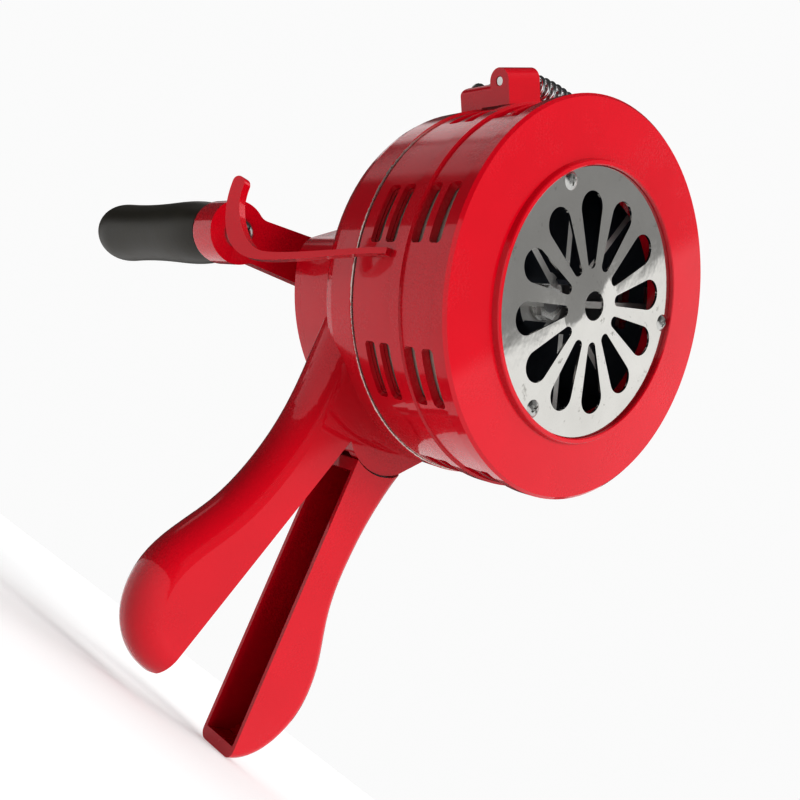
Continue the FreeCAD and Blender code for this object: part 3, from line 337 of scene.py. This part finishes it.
FLOOR_LEVEL = -0.2238
FLOOR_SIZE = 6.0
CAMERA_PLACE = Vector((-0.21209, -0.22661, -0.20039))
CAMERA_TURN = (112.587, -35.310, -51.861)
SENSOR = 36.0
PHOTO_SIZE = 800.0
FOCAL_PIXELS = 880.44
AXIS_BELOW_MIDDLE = 50.0


def add_camera():
    """The photograph's own viewpoint, found from the drum's circles."""
    data = bpy.data.cameras.new("photo_camera")
    data.sensor_width = SENSOR
    data.lens = FOCAL_PIXELS * SENSOR / PHOTO_SIZE
    data.shift_y = AXIS_BELOW_MIDDLE / PHOTO_SIZE
    data.clip_start = 0.01
    data.clip_end = 50.0
    camera = bpy.data.objects.new("photo_camera", data)
    camera.location = CAMERA_PLACE
    camera.rotation_euler = [math.radians(angle) for angle in CAMERA_TURN]
    bpy.context.scene.collection.objects.link(camera)
    bpy.context.scene.camera = camera


def add_floor():
    """A plain pale floor that the siren rests on."""
    corners = [(-1, -1), (1, -1), (1, 1), (-1, 1)]
    mesh = bpy.data.meshes.new("floor")
    mesh.from_pydata([(x * FLOOR_SIZE, y * FLOOR_SIZE, FLOOR_LEVEL) for x, y in corners], [], [(0, 1, 2, 3)])
    floor = bpy.data.objects.new("floor", mesh)
    g = Graph("pale_floor")
    pale = g.mix_colour(g.noise(8.0, 3.0), colour(0.50, 0.50, 0.50), colour(0.54, 0.54, 0.54))
    mesh.materials.append(g.surface(Base_Color=pale, Roughness=0.85, Specular_IOR_Level=0.1,
                                    Emission_Color=colour(1.0, 1.0, 1.0), Emission_Strength=0.42))
    bpy.context.scene.collection.objects.link(floor)


ROOM_DIM = 0.07
BACKDROP = 0.97
PLATE_FACING = (0.56, -0.62, 0.55)
PLATE_UP = (0.827, 0.435, -0.355)
# Each window: radiance, facing, up, then half width, low, high and soft edge in degrees.
WINDOWS = [
    (0.95, PLATE_FACING, PLATE_UP, 50.0, 0.5, 60.0, 0.7),
    (0.30, PLATE_FACING, PLATE_UP, 40.0, -40.0, 0.5, 2.5),
    (0.9, (-0.10, 0.75, 0.66), (0.5, -0.5, 0.64), 16.0, -7.0, 5.0, 2.0),
    (0.6, (-0.45, 0.73, 0.52), (0.5, -0.3, 0.8), 7.0, -12.0, 6.0, 2.5),
    (0.6, (-0.26, 0.78, -0.57), (-0.4, -0.6, -0.6), 9.0, -9.0, 9.0, 3.0),
]


def softbox(g, view, facing, up, half_width, low, high, edge):
    """How far the direction view lies inside a soft window, from 0 to 1.

    The window is centred on facing, and it stands along its own up. It reaches half_width to each side, by
    the angle round up, and from low to high, by the angle above the plane square to up. All are radians.
    """
    up = Vector(up).normalized()
    ahead = (Vector(facing) - up * Vector(facing).dot(up)).normalized()
    side = ahead.cross(up)
    x, y, z = view
    along, across, above = [x * axis.x + y * axis.y + z * axis.z for axis in (ahead, side, up)]
    beside = abs(across.apply("ARCTAN2", across, along))
    height = above.apply("ARCSINE", above)
    inside = 1.0 - g.ramp(half_width - edge, half_width + edge, beside)
    return inside * (g.ramp(low - edge, low + edge, height) - g.ramp(high - edge, high + edge, height))


def add_world():
    """A white sweep behind, and dim studio walls with soft windows for the gloss."""
    g = Graph("studio", bpy.data.worlds)
    view = list(g.node("SeparateXYZ", Vector=g.node("TexCoord")["Generated"]).values())
    walls = ROOM_DIM
    for radiance, facing, up, *spans in WINDOWS:
        walls = walls + softbox(g, view, facing, up, *[math.radians(angle) for angle in spans]) * radiance
    seen = g.node("LightPath")["Is Camera Ray"]
    strength = walls * (1.0 - seen) + seen * BACKDROP
    light = g.node("Background", Color=colour(1.0, 1.0, 1.0), Strength=strength)["Background"]
    g.node("OutputWorld", Surface=light)
    bpy.context.scene.world = g.owner


def add_sun(name, toward, strength, spread):
    """Even soft light from far away in the direction toward, with a spread in degrees."""
    data = bpy.data.lights.new(name, "SUN")
    data.energy = strength
    data.angle = math.radians(spread)
    lamp = bpy.data.objects.new(name, data)
    lamp.rotation_euler = Vector(toward).to_track_quat("Z", "Y").to_euler()
    lamp.visible_glossy = False
    bpy.context.scene.collection.objects.link(lamp)


add_camera()
add_floor()
add_world()
add_sun("key", (0.0, -0.92, 0.38), 2.8, 35.0)
add_sun("overhead", (0.1, -0.1, 1.0), 2.0, 60.0)
bpy.context.scene.view_settings.view_transform = "Standard"
bpy.context.scene.view_settings.gamma = 0.8
